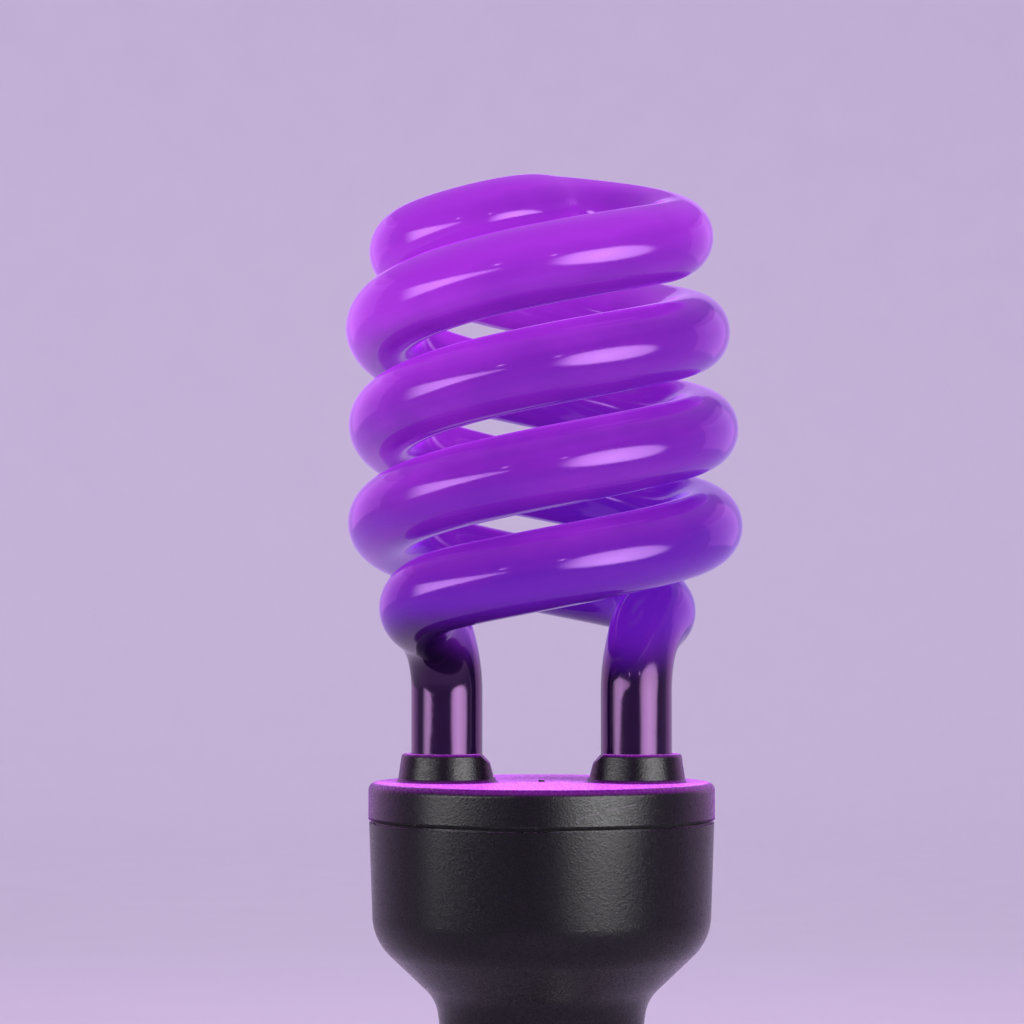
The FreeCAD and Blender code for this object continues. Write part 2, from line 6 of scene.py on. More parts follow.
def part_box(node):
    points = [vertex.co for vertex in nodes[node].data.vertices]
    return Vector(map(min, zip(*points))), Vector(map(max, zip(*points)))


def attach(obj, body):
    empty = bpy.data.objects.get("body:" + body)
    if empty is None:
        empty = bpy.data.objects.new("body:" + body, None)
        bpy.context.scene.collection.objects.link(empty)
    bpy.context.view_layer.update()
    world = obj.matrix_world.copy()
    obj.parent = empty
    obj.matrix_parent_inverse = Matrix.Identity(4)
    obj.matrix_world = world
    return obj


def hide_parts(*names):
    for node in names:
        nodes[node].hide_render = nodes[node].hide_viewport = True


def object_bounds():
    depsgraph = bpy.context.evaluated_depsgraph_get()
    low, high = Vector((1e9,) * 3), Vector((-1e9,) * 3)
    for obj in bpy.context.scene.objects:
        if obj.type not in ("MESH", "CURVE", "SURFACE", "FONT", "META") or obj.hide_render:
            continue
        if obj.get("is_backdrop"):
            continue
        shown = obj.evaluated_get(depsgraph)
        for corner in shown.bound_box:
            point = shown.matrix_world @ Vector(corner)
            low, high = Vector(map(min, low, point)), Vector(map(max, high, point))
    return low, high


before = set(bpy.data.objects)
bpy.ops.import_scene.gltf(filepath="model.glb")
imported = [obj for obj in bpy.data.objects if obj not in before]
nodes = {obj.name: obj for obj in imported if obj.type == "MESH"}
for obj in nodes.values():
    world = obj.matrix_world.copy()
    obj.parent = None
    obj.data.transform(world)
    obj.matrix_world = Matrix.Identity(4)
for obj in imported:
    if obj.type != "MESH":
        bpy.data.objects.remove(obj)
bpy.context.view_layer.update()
scene = bpy.context.scene
scene.view_settings.view_transform = "Standard"
mm = 0.001  # the lamp's sizes below are millimetres, the studio's and Blender's are metres
capPlate = 2.0  # thickness of the cap's plate, which the cement ends under
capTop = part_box("left_tube_cement")[1].z + capPlate * mm
print("lamp frame loaded:", len(nodes), "nodes")


# hex colour as written on a swatch, to the linear values that the shaders want
def hexColour(code):
    channels = [int(code[i:i + 2], 16) / 255 for i in (1, 3, 5)]
    return tuple(c / 12.92 if c <= 0.04045 else ((c + 0.055) / 1.055) ** 2.4 for c in channels) + (1.0,)


# one node, its settings and its inputs: a socket is linked, anything else is set on the input itself
def addNode(tree, kind, inputs=None, **settings):
    made = tree.nodes.new(kind)
    for name, setting in settings.items():
        setattr(made, name, setting)
    for name, given in (inputs or {}).items():
        if isinstance(given, bpy.types.NodeSocket):
            tree.links.new(given, made.inputs[name])
        else:
            made.inputs[name].default_value = given
    return made


# empty material with its surface shader, and object coordinates turned to millimetres
def newMaterial(name):
    material = bpy.data.materials.new(name)
    material.use_nodes = True
    tree = material.node_tree
    tree.nodes.clear()
    output = addNode(tree, "ShaderNodeOutputMaterial")
    shader = addNode(tree, "ShaderNodeBsdfPrincipled")
    tree.links.new(shader.outputs["BSDF"], output.inputs["Surface"])
    place = addNode(tree, "ShaderNodeTexCoord")
    inMm = addNode(tree, "ShaderNodeVectorMath", {0: place.outputs["Object"], 1: (1 / mm, 1 / mm, 1 / mm)},
                   operation="MULTIPLY")
    return material, tree, shader, inMm.outputs["Vector"]


# ramp of hex colours over a 0 to 1 factor
def setStops(ramp, stops):
    while len(ramp.color_ramp.elements) < len(stops):
        ramp.color_ramp.elements.new(1.0)
    for element, (spot, code) in zip(ramp.color_ramp.elements, stops):
        element.position = spot
        element.color = hexColour(code)


def finishNode(name, material):
    nodes[name].data.materials.clear()
    nodes[name].data.materials.append(material)


def meshPiece(name, points, faces, material):
    mesh = bpy.data.meshes.new(name)
    mesh.from_pydata(points, [], faces)
    mesh.validate()
    mesh.shade_smooth()
    piece = bpy.data.objects.new(name, mesh)
    scene.collection.objects.link(piece)
    mesh.materials.append(material)
    return piece


def smoothShare(value, low, high):
    share = min(1.0, max(0.0, (value - low) / (high - low)))
    return share * share * (3 - 2 * share)


# camera at the photo's height and distance, just below the lowest turn, tilted up and turned a little left
cameraView = {
    "distance": 440.0,
    "aboveCap": 21.2,
    "focalPixels": 3036.0,
    "axisPixel": 541.5,
    "horizonPixel": 635.0,
    "imagePixels": 1024.0,
    "sensorWidth": 36.0,
    "clipNear": 0.02,  # metres, as is clipFar
    "clipFar": 20.0,
}
middlePixel = cameraView["imagePixels"] / 2
camera = bpy.data.objects.new("camera", bpy.data.cameras.new("camera"))
camera.data.sensor_width = cameraView["sensorWidth"]
camera.data.lens = cameraView["sensorWidth"] * cameraView["focalPixels"] / cameraView["imagePixels"]
camera.data.clip_start = cameraView["clipNear"]
camera.data.clip_end = cameraView["clipFar"]
camera.location = (0, -cameraView["distance"] * mm, capTop + cameraView["aboveCap"] * mm)
tiltUp = math.atan((cameraView["horizonPixel"] - middlePixel) / cameraView["focalPixels"])
turnLeft = math.atan((cameraView["axisPixel"] - middlePixel) / cameraView["focalPixels"])
camera.rotation_euler = (math.pi / 2 + tiltUp, 0, turnLeft)
scene.collection.objects.link(camera)
scene.camera = camera
print("camera set, lens", round(camera.data.lens, 1))

# violet filter glass, drawn tube with a fluorescent coat inside: glows indigo in the lower turns and magenta
# in the upper ones, in soft streaks along the tube, mirrors the softboxes sharply with a violet tint, and is
# almost black in the legs
violetGlass = {
    "glowDeep": "#5210a2",
    "glowMiddle": "#7218ae",
    "glowBright": "#a22cd8",
    "deepAt": 0.1,
    "middleAt": 0.5,
    "brightAt": 0.95,
    "glowStrength": 0.95,
    # painted shade on downward faces: how dim the glow gets there, and from which facing it starts
    "underside": 0.72,
    "undersideFrom": -0.5,
    "bodyColour": "#2c0c3c",
    "legColour": "#0e0618",
    "legGlow": 0.02,
    "mirrorTint": "#f0aeff",
    "fadeFrom": 15.0,
    "fadeTo": 25.0,
    "fadeRagged": 6.0,
    # painted shade: how much later the glow fades in on downward faces
    "paintedElbowShade": 4.0,
    "deepBelow": 26.0,
    "brightAbove": 76.0,
    "deepShift": -0.55,
    "brightShift": 0.15,
    # painted light: how much brighter the glow gets on upward faces and towards the left
    "paintedTopLight": 0.2,
    "paintedLeftLight": 0.009,
    "streakShare": 0.6,
    "contrast": 1.4,
    "cloudMm": 15.0,
    "streakMm": 6.0,
    "streakLengthMm": 80.0,
    "waveMm": 9.0,
    "waveDepth": 0.4,
    "waveStrength": 0.2,
    "dustMm": 0.5,
    "dustFrom": 0.45,
    "dustTo": 0.75,
    "cleanRoughness": 0.09,
    "dustyRoughness": 0.17,
    "ior": 1.52,
}


def makeVioletGlass(law):
    material, tree, shader, spot = newMaterial("violet filter glass, drawn tube")
    axes = addNode(tree, "ShaderNodeSeparateXYZ", {"Vector": spot}).outputs
    facing = addNode(tree, "ShaderNodeSeparateXYZ", {
        "Vector": addNode(tree, "ShaderNodeTexCoord").outputs["Normal"]}).outputs["Z"]
    cloud = addNode(tree, "ShaderNodeTexNoise", {"Vector": spot, "Scale": 1 / law["cloudMm"], "Detail": 3.0})
    # the glow fades in above the legs, raggedly, and later under the elbows, which is painted shade
    ragged = addNode(tree, "ShaderNodeMath", {
        0: cloud.outputs["Fac"], 1: law["fadeRagged"], 2: axes["Z"]}, operation="MULTIPLY_ADD")
    lifted = addNode(tree, "ShaderNodeMath", {
        0: facing, 1: law["paintedElbowShade"], 2: ragged.outputs["Value"]}, operation="MULTIPLY_ADD")
    capLevel = capTop / mm
    fadeLevel = capLevel + law["fadeRagged"] / 2
    lit = addNode(tree, "ShaderNodeMapRange", {
        "Value": lifted.outputs["Value"],
        "From Min": fadeLevel + law["fadeFrom"], "From Max": fadeLevel + law["fadeTo"],
        "To Min": law["legGlow"], "To Max": 1.0,
    }, interpolation_type="SMOOTHSTEP")
    # brighter and redder towards the crown and deep indigo lower down; brighter on the upper faces and
    # towards the left as painted light, darker low on the right as painted shade
    rise = addNode(tree, "ShaderNodeMapRange", {
        "Value": axes["Z"],
        "From Min": capLevel + law["deepBelow"], "From Max": capLevel + law["brightAbove"],
        "To Min": law["deepShift"], "To Max": law["brightShift"]})
    upper = addNode(tree, "ShaderNodeMath", {
        0: facing, 1: law["paintedTopLight"], 2: rise.outputs["Result"]}, operation="MULTIPLY_ADD")
    leftward = addNode(tree, "ShaderNodeMath", {
        0: axes["X"], 1: -law["paintedLeftLight"], 2: upper.outputs["Value"]}, operation="MULTIPLY_ADD")
    drawn = addNode(tree, "ShaderNodeAttribute", attribute_name="drawnAlong")
    stretched = addNode(tree, "ShaderNodeMapping", {
        "Vector": drawn.outputs["Vector"],
        "Scale": (1 / law["streakLengthMm"], 1 / law["streakMm"], 1 / law["streakMm"])})
    streak = addNode(tree, "ShaderNodeTexNoise", {
        "Vector": stretched.outputs["Vector"], "Scale": 1.0, "Detail": 3.0})
    # the mix node's sockets share their names, so they go by number: 2 and 3 for values, 6 and 7 for colours
    mottle = addNode(tree, "ShaderNodeMix", {
        "Factor": law["streakShare"], 2: cloud.outputs["Fac"], 3: streak.outputs["Fac"]}, data_type="FLOAT")
    coat = addNode(tree, "ShaderNodeMath", {
        0: mottle.outputs[0], 1: law["contrast"], 2: leftward.outputs["Value"]}, operation="MULTIPLY_ADD")
    glow = addNode(tree, "ShaderNodeValToRGB", {"Fac": coat.outputs["Value"]})
    setStops(glow, [(law["deepAt"], law["glowDeep"]), (law["middleAt"], law["glowMiddle"]),
                    (law["brightAt"], law["glowBright"])])
    # painted shade: the glow is dimmer on what faces straight down
    paintedUnderShade = addNode(tree, "ShaderNodeMapRange", {
        "Value": facing, "From Min": -1.0, "From Max": law["undersideFrom"],
        "To Min": law["underside"], "To Max": 1.0,
    }, interpolation_type="SMOOTHSTEP")
    shone = addNode(tree, "ShaderNodeMath", {
        0: lit.outputs["Result"], 1: paintedUnderShade.outputs["Result"]}, operation="MULTIPLY")
    power = addNode(tree, "ShaderNodeMath", {
        0: shone.outputs["Value"], 1: law["glowStrength"]}, operation="MULTIPLY")
    body = addNode(tree, "ShaderNodeMix", {
        "Factor": lit.outputs["Result"], 6: hexColour(law["legColour"]), 7: hexColour(law["bodyColour"]),
    }, data_type="RGBA")
    dust = addNode(tree, "ShaderNodeTexNoise", {"Vector": spot, "Scale": 1 / law["dustMm"], "Detail": 2.0})
    gloss = addNode(tree, "ShaderNodeMapRange", {
        "Value": dust.outputs["Fac"], "From Min": law["dustFrom"], "From Max": law["dustTo"],
        "To Min": law["cleanRoughness"], "To Max": law["dustyRoughness"]})
    wave = addNode(tree, "ShaderNodeTexNoise", {"Vector": spot, "Scale": 1 / law["waveMm"], "Detail": 1.0})
    bump = addNode(tree, "ShaderNodeBump", {
        "Height": wave.outputs["Fac"], "Strength": law["waveStrength"], "Distance": law["waveDepth"] * mm})
    tree.links.new(body.outputs[2], shader.inputs["Base Color"])
    tree.links.new(gloss.outputs["Result"], shader.inputs["Roughness"])
    tree.links.new(glow.outputs["Color"], shader.inputs["Emission Color"])
    tree.links.new(power.outputs["Value"], shader.inputs["Emission Strength"])
    tree.links.new(bump.outputs["Normal"], shader.inputs["Normal"])
    shader.inputs["IOR"].default_value = law["ior"]
    shader.inputs["Specular Tint"].default_value = hexColour(law["mirrorTint"])
    material.cycles.emission_sampling = "NONE"  # the glow is too weak to be worth aiming rays at
    return material


# the coiled tube: two strands from the legs, wound as one double helix and closed over the crown in an S
spiralTube = {
    "tubeRadius": 5.65,
    "legRadius": 5.15,
    "legMiddle": 13.7,
    "legDepth": 9.0,
    "legRise": 13.0,
    "flareFrom": 18.5,
    "flareTo": 26.0,
    "lowRadius": 23.1,
    "highRadius": 21.95,
    "sway": 0.6,
    "pitch": 28.1,
    "rise": 30.2,
    "startAngle": 237.0,
    "frontAngle": 270.0,
    "closeAngle": 858.0,
    "crownAngle": 958.5,
    "closeInPower": 1.84,
    "closeUpPower": 5.8,
    "crownLean": 2.75,
    "angleStep": 3.0,
    "headingStep": 0.01,
    "elbowSteps": 14,
    "legStep": 1.25,
    "sides": 60,
}


# point of a strand's middle line, millimetres above the cap
def coilPoint(law, angle, side):
    closing = law["crownAngle"] - law["closeAngle"]
    share = max(0.0, (angle - law["closeAngle"]) / closing)
    wound = min(angle, law["closeAngle"]) - law["frontAngle"]
    slope = (law["highRadius"] - law["lowRadius"]) / (law["closeAngle"] - law["frontAngle"])
    radius = (law["lowRadius"] + slope * wound) * (1 - share ** law["closeInPower"])
    power = law["closeUpPower"]
    climb = law["pitch"] / 360 * (wound + closing * (share - share ** power / power))
    across = side * radius * math.cos(math.radians(angle))
    depth = side * radius * math.sin(math.radians(angle))
    lean = law["crownLean"] * across / law["highRadius"] * smoothShare(share, 0.0, 1.0)
    turned = (angle - law["startAngle"]) / (law["crownAngle"] - law["startAngle"])
    sway = law["sway"] * math.sin(2 * math.pi * turned)
    return Vector((across + sway, depth, law["rise"] + climb + lean))


# two tangent arcs from the leg's top into the coil
def elbowPoints(law, start, end, arriving):
    leaving = Vector((0, 0, 1))
    gap = end - start
    along = gap.dot(leaving + arriving)
    bend = 2 * (1 - leaving.dot(arriving))
    reach = (math.sqrt(along ** 2 + bend * gap.dot(gap)) - along) / bend
    first = start + leaving * reach
    second = end - arriving * reach
    middle = (first + second) / 2
    points = []
    for a, corner, b in ((start, first, middle), (middle, second, end)):
        weight = math.cos((corner - a).angle(b - corner) / 2)
        for step in range(law["elbowSteps"]):
            t = step / law["elbowSteps"]
            u = 1 - t
            spread = u * u + 2 * weight * u * t + t * t
            points.append((a * (u * u) + corner * (2 * weight * u * t) + b * (t * t)) / spread)
    return points


# a whole strand, from the foot of its leg to just short of the crown
def strandPoints(law, side):
    legFoot = Vector((-side * law["legMiddle"], 0, -law["legDepth"]))
    legSteps = round((law["legDepth"] + law["legRise"]) / law["legStep"])
    lift = (law["legDepth"] + law["legRise"]) / legSteps
    points = [legFoot + Vector((0, 0, lift * step)) for step in range(legSteps)]
    start = coilPoint(law, law["startAngle"], side)
    arriving = (coilPoint(law, law["startAngle"] + law["headingStep"], side) - start).normalized()
    points += elbowPoints(law, Vector((legFoot.x, 0, law["legRise"])), start, arriving)
    turns = law["crownAngle"] - law["startAngle"]
    steps = round(turns / law["angleStep"])
    points += [coilPoint(law, law["startAngle"] + turns * step / steps, side) for step in range(steps)]
    return points


def makeSpiralTube(law, material):
    route = strandPoints(law, 1) + [coilPoint(law, law["crownAngle"], 1)] + strandPoints(law, -1)[::-1]
    last = len(route) - 1
    headings = [(route[min(i + 1, last)] - route[max(i - 1, 0)]).normalized() for i in range(last + 1)]
    outward = Vector((1, 0, 0))
    points, faces, drawnAlong = [], [], []
    along = 0.0
    for i, (middle, heading) in enumerate(zip(route, headings)):
        if i:
            along += (middle - route[i - 1]).length
            outward = headings[i - 1].rotation_difference(heading) @ outward  # carried along without twist
        outward = (outward - heading * outward.dot(heading)).normalized()
        sideways = heading.cross(outward)
        wide = smoothShare(middle.z, law["flareFrom"], law["flareTo"])
        radius = law["legRadius"] + (law["tubeRadius"] - law["legRadius"]) * wide
        for k in range(law["sides"]):
            turn = 2 * math.pi * k / law["sides"]
            spot = middle + (outward * math.cos(turn) + sideways * math.sin(turn)) * radius
            points.append((spot.x * mm, spot.y * mm, capTop + spot.z * mm))
            drawnAlong.append((along, radius * math.cos(turn), radius * math.sin(turn)))
    count = law["sides"]
    for i in range(last):
        for k in range(count):
            n = (k + 1) % count
            faces.append((i * count + k, i * count + n, (i + 1) * count + n, (i + 1) * count + k))
    faces.append(tuple(range(count))[::-1])
    faces.append(tuple(last * count + k for k in range(count)))
    piece = meshPiece("spiral_glass", points, faces, material)
    # millimetres along and across the tube, for the streaks in the glass
    streaks = piece.data.attributes.new("drawnAlong", "FLOAT_VECTOR", "POINT")
    for i, spot in enumerate(drawnAlong):
        streaks.data[i].vector = spot
    return piece


glassTube = makeSpiralTube(spiralTube, makeVioletGlass(violetGlass))
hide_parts("spiral_tube")
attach(glassTube, "root")
print("glass tube wound:", len(glassTube.data.polygons), "faces")

# charcoal ABS, moulded in a spark-eroded tool: satin, with a fine even grain that sparkles in the light, a
# violet tint on the cap's top as painted light from the glowing tube, pale rubbed specks along the seam and
# one scratch on the cap
charcoalAbs = {
    "dark": "#030204",
    "light": "#0e0b10",
    "darkAt": 0.05,
    "lightAt": 0.5,
    "rubbed": "#3c3542",
    # film colour: violet light from the glowing tube, painted on the cap's upward faces
    "film": "#9a24b6",
    "paintedGlowFrom": 0.1,
    "paintedGlowTo": 0.95,
    # violet sheen, painted light standing in for the tube's glow at grazing angles: full on the cap, faint on
    # the housing
    "bloom": "#cf5cf0",
    "bloomRoughness": 0.25,
    # how strongly that painted light covers the cap's and the housing's upward faces
    "capPaintedGlow": 0.4,
    "housingPaintedGlow": 0.0,
    "capPaintedSheen": 1.0,
    "housingPaintedSheen": 0.06,
    "grainMm": 0.26,  # the real grain is near 0.1 mm, drawn coarser so that it shows
    "grainDepth": 0.06,
    "grainStrength": 0.3,
    "patchMm": 11.0,
    "speckMm": 0.6,
    "speckFrom": 0.64,
    "speckTo": 0.74,
    "seamReach": 0.5,
    "seamDull": 0.3,
    "seamRougher": 0.65,
    "scratchLeft": 4.6,
    "scratchLength": 8.4,
    "scratchDrop": 4.4,
    "scratchRise": 2.3,
    "scratchBow": 0.6,
    "scratchWidth": 0.12,
    "scratchBefore": -15.0,
    "darkRoughness": 0.31,
    "lightRoughness": 0.17,
    "ior": 1.53,
    "specular": 0.22,
}
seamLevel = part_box("ballast_housing")[1].z / mm


def makeCharcoalAbs(law, name, film, bloom):
    material, tree, shader, spot = newMaterial(name)
    axes = addNode(tree, "ShaderNodeSeparateXYZ", {"Vector": spot}).outputs
    grain = addNode(tree, "ShaderNodeTexVoronoi", {"Vector": spot, "Scale": 1 / law["grainMm"]})
    sparkle = addNode(tree, "ShaderNodeSeparateXYZ", {"Vector": grain.outputs["Color"]}).outputs["X"]
    patch = addNode(tree, "ShaderNodeTexNoise", {"Vector": spot, "Scale": 1 / law["patchMm"], "Detail": 4.0})
    blend = addNode(tree, "ShaderNodeMath", {0: sparkle, 1: patch.outputs["Fac"]}, operation="MULTIPLY")
    tone = addNode(tree, "ShaderNodeValToRGB", {"Fac": blend.outputs["Value"]})
    setStops(tone, [(law["darkAt"], law["dark"]), (law["lightAt"], law["light"])])
    # specks: near the seam, where a second noise is high
    nearSeam = addNode(tree, "ShaderNodeMath", {
        0: axes["Z"], 1: seamLevel, 2: law["seamReach"]}, operation="COMPARE")
    speck = addNode(tree, "ShaderNodeTexNoise", {"Vector": spot, "Scale": 1 / law["speckMm"], "Detail": 3.0})
    chosen = addNode(tree, "ShaderNodeMapRange", {
        "Value": speck.outputs["Fac"], "From Min": law["speckFrom"], "From Max": law["speckTo"]})
    seamWear = addNode(tree, "ShaderNodeMath", {
        0: nearSeam.outputs["Value"], 1: chosen.outputs["Result"]}, operation="MULTIPLY")
    # scratch: a thin rising line on the front of the cap, broken by the grain
    share = addNode(tree, "ShaderNodeMapRange", {
        "Value": axes["X"],
        "From Min": law["scratchLeft"], "From Max": law["scratchLeft"] + law["scratchLength"]})
    bowed = addNode(tree, "ShaderNodeMath", {
        0: share.outputs["Result"], 1: law["scratchBow"]}, operation="POWER")
    line = addNode(tree, "ShaderNodeMath", {
        0: bowed.outputs["Value"], 1: law["scratchRise"], 2: capTop / mm - law["scratchDrop"],
    }, operation="MULTIPLY_ADD")
    onLine = addNode(tree, "ShaderNodeMath", {
        0: axes["Z"], 1: line.outputs["Value"], 2: law["scratchWidth"]}, operation="COMPARE")
    # beyond its ends the share stays at 0 or 1, which is just too far from a half
    inside = addNode(tree, "ShaderNodeMath", {
        0: share.outputs["Result"], 1: 0.5, 2: 0.499}, operation="COMPARE")
    front = addNode(tree, "ShaderNodeMath", {0: axes["Y"], 1: law["scratchBefore"]}, operation="LESS_THAN")
    marked = addNode(tree, "ShaderNodeMath", {
        0: onLine.outputs["Value"], 1: inside.outputs["Value"]}, operation="MULTIPLY")
    scratch = addNode(tree, "ShaderNodeMath", {
        0: marked.outputs["Value"], 1: front.outputs["Value"]}, operation="MULTIPLY")
    faint = addNode(tree, "ShaderNodeMath", {0: scratch.outputs["Value"], 1: sparkle}, operation="MULTIPLY")
    wear = addNode(tree, "ShaderNodeMath", {
        0: seamWear.outputs["Value"], 1: faint.outputs["Value"]}, operation="MAXIMUM")
    # painted light: the tube's violet glow painted on what faces up, strongest on what faces straight up
    upward = addNode(tree, "ShaderNodeSeparateXYZ", {
        "Vector": addNode(tree, "ShaderNodeTexCoord").outputs["Normal"]}).outputs["Z"]
    paintedGlowShare = addNode(tree, "ShaderNodeMapRange", {
        "Value": upward, "From Min": law["paintedGlowFrom"], "From Max": law["paintedGlowTo"],
        "To Min": 0.0, "To Max": film,
    }, interpolation_type="SMOOTHSTEP")
    paintedGlowColour = addNode(tree, "ShaderNodeMix", {
        "Factor": paintedGlowShare.outputs["Result"], 6: tone.outputs["Color"], 7: hexColour(law["film"]),
    }, data_type="RGBA")
    colour = addNode(tree, "ShaderNodeMix", {
        "Factor": wear.outputs["Value"], 6: paintedGlowColour.outputs[2], 7: hexColour(law["rubbed"])}, data_type="RGBA")
    gloss = addNode(tree, "ShaderNodeMapRange", {
        "Value": blend.outputs["Value"], "From Min": law["darkAt"], "From Max": law["lightAt"],
        "To Min": law["darkRoughness"], "To Max": law["lightRoughness"]})
    # the seam's edges are dull, so it shows as a dark line
    seamEdge = addNode(tree, "ShaderNodeMath", {
        0: axes["Z"], 1: seamLevel, 2: law["seamDull"]}, operation="COMPARE")
    dulled = addNode(tree, "ShaderNodeMath", {
        0: seamEdge.outputs["Value"], 1: law["seamRougher"], 2: gloss.outputs["Result"],
    }, operation="MULTIPLY_ADD")
    bump = addNode(tree, "ShaderNodeBump", {
        "Height": grain.outputs["Distance"], "Strength": law["grainStrength"],
        "Distance": law["grainDepth"] * mm})
    tree.links.new(colour.outputs[2], shader.inputs["Base Color"])
    tree.links.new(dulled.outputs["Value"], shader.inputs["Roughness"])
    tree.links.new(bump.outputs["Normal"], shader.inputs["Normal"])
    shader.inputs["IOR"].default_value = law["ior"]
    shader.inputs["Specular IOR Level"].default_value = law["specular"]
    # violet sheen: painted light from the tube
    shader.inputs["Sheen Weight"].default_value = bloom
    shader.inputs["Sheen Roughness"].default_value = law["bloomRoughness"]
    shader.inputs["Sheen Tint"].default_value = hexColour(law["bloom"])
    return material


finishNode("tube_cap", makeCharcoalAbs(
    charcoalAbs, "charcoal ABS cap, spark-eroded moulding", charcoalAbs["capPaintedGlow"], charcoalAbs["capPaintedSheen"]))
finishNode("ballast_housing", makeCharcoalAbs(
    charcoalAbs, "charcoal ABS housing, spark-eroded moulding", charcoalAbs["housingPaintedGlow"],
    charcoalAbs["housingPaintedSheen"]))
print("cap and housing finished")

# nickel-plated brass, rolled and drawn: bright pale metal with fine rings from the rolling and dull patches
nickelPlate = {
    "bright": "#d8d4cc",
    "dull": "#a9a49a",
    "dullAt": 0.35,
    "brightAt": 0.6,
    "dullRoughness": 0.34,
    "brightRoughness": 0.2,
    "brightRoughnessAt": 0.65,
    "patchMm": 5.0,
    "ringMm": 0.7,
    "ringStretch": 0.03,
    "ringDepth": 0.05,
    "ringStrength": 0.25,
}


def makeNickelPlate(law):
    material, tree, shader, spot = newMaterial("nickel-plated brass, rolled")
    stretched = addNode(tree, "ShaderNodeMapping", {
        "Vector": spot, "Scale": (law["ringStretch"], law["ringStretch"], 1.0)})
    rings = addNode(tree, "ShaderNodeTexNoise", {
        "Vector": stretched.outputs["Vector"], "Scale": 1 / law["ringMm"], "Detail": 3.0})
    patch = addNode(tree, "ShaderNodeTexNoise", {"Vector": spot, "Scale": 1 / law["patchMm"], "Detail": 5.0})
    tone = addNode(tree, "ShaderNodeValToRGB", {"Fac": patch.outputs["Fac"]})
    setStops(tone, [(law["dullAt"], law["dull"]), (law["brightAt"], law["bright"])])
    gloss = addNode(tree, "ShaderNodeMapRange", {
        "Value": patch.outputs["Fac"], "From Min": law["dullAt"], "From Max": law["brightRoughnessAt"],
        "To Min": law["dullRoughness"], "To Max": law["brightRoughness"]})
    bump = addNode(tree, "ShaderNodeBump", {
        "Height": rings.outputs["Fac"], "Strength": law["ringStrength"], "Distance": law["ringDepth"] * mm})
    tree.links.new(tone.outputs["Color"], shader.inputs["Base Color"])
    tree.links.new(gloss.outputs["Result"], shader.inputs["Roughness"])
    tree.links.new(bump.outputs["Normal"], shader.inputs["Normal"])
    shader.inputs["Metallic"].default_value = 1.0
    return material


# the screw shell as it is rolled: a round thread that fades in and out, and a skirt punched onto the housing
screwShell = {
    "rootRadius": 12.15,
    "crestRadius": 13.1,
    "pitch": 3.63,
    "threadStart": 9.4,
    "fadeInFrom": 7.9,
    "fadeInTo": 9.7,
    "fadeOutFrom": 20.3,
    "fadeOutTo": 22.0,
    "lipRadius": 10.2,
    "lipRound": 0.8,
    "lipSteps": 6,
    "boreRadius": 11.0,
    "skirtRadius": 13.0,
    "skirtFoot": 22.0,
    "skirtRise": 1.0,
    "skirtWall": 0.7,
    "punches": 8,
    "punchHeight": 24.7,
    "punchRadius": 0.75,
    "punchDepth": 0.35,
    "punchFall": 1.5,
    "wallRows": 140,
    "sides": 180,
}


# how far the thread stands out and the punches sink in, at a height and a share of the way round
def shellRelief(law, radius, height, share):
    phase = (height - law["threadStart"]) / law["pitch"] - share
    held = smoothShare(height, law["fadeInFrom"], law["fadeInTo"])
    held *= 1 - smoothShare(height, law["fadeOutFrom"], law["fadeOutTo"])
    ridge = 0.5 + 0.5 * math.cos(2 * math.pi * phase)
    nearest = round(share * law["punches"]) / law["punches"]
    off = (share - nearest) * 2 * math.pi * radius
    away = math.hypot(off, height - law["punchHeight"]) / law["punchRadius"]
    punched = law["punchDepth"] * math.exp(-away ** 2 * law["punchFall"])
    return (law["crestRadius"] - law["rootRadius"]) * held * ridge - punched


def makeScrewShell(law, material):
    low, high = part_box("screw_shell")
    foot, top = low.z / mm, high.z / mm
    wallFoot = foot + law["lipRound"]
    skirtTop = law["skirtFoot"] + law["skirtRise"]
    # rows of radius, height and whether the row is on the threaded wall, from the lip up and back inside
    rows = [(law["lipRadius"], foot, False)]
    for step in range(law["lipSteps"]):
        turn = math.pi / 2 * step / law["lipSteps"]
        rows.append((law["rootRadius"] - law["lipRound"] * (1 - math.sin(turn)),
                     foot + law["lipRound"] * (1 - math.cos(turn)), False))
    for row in range(law["wallRows"] + 1):
        height = wallFoot + (top - wallFoot) * row / law["wallRows"]
        skirt = smoothShare(height, law["skirtFoot"], skirtTop)
        rows.append((law["rootRadius"] + (law["skirtRadius"] - law["rootRadius"]) * skirt, height, True))
    skirtInner = law["skirtRadius"] - law["skirtWall"]
    rows += [(skirtInner, top, False), (skirtInner, skirtTop, False)]
    rows += [(law["boreRadius"], law["skirtFoot"], False), (law["boreRadius"], wallFoot, False)]
    rows += [(law["lipRadius"], wallFoot, False)]
    count = law["sides"]
    points, faces = [], []
    for radius, height, onWall in rows:
        for k in range(count):
            turn = 2 * math.pi * k / count
            reach = radius
            if onWall:
                reach += shellRelief(law, radius, height, k / count)
            points.append((reach * math.cos(turn) * mm, reach * math.sin(turn) * mm, height * mm))
    total = len(rows)
    for i in range(total):
        for k in range(count):
            n = (k + 1) % count
            j = (i + 1) % total
            faces.append((i * count + k, i * count + n, j * count + n, j * count + k))
    return meshPiece("rolled_screw_shell", points, faces, material)


rolledShell = makeScrewShell(screwShell, makeNickelPlate(nickelPlate))
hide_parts("screw_shell")
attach(rolledShell, "root")
print("screw shell rolled")

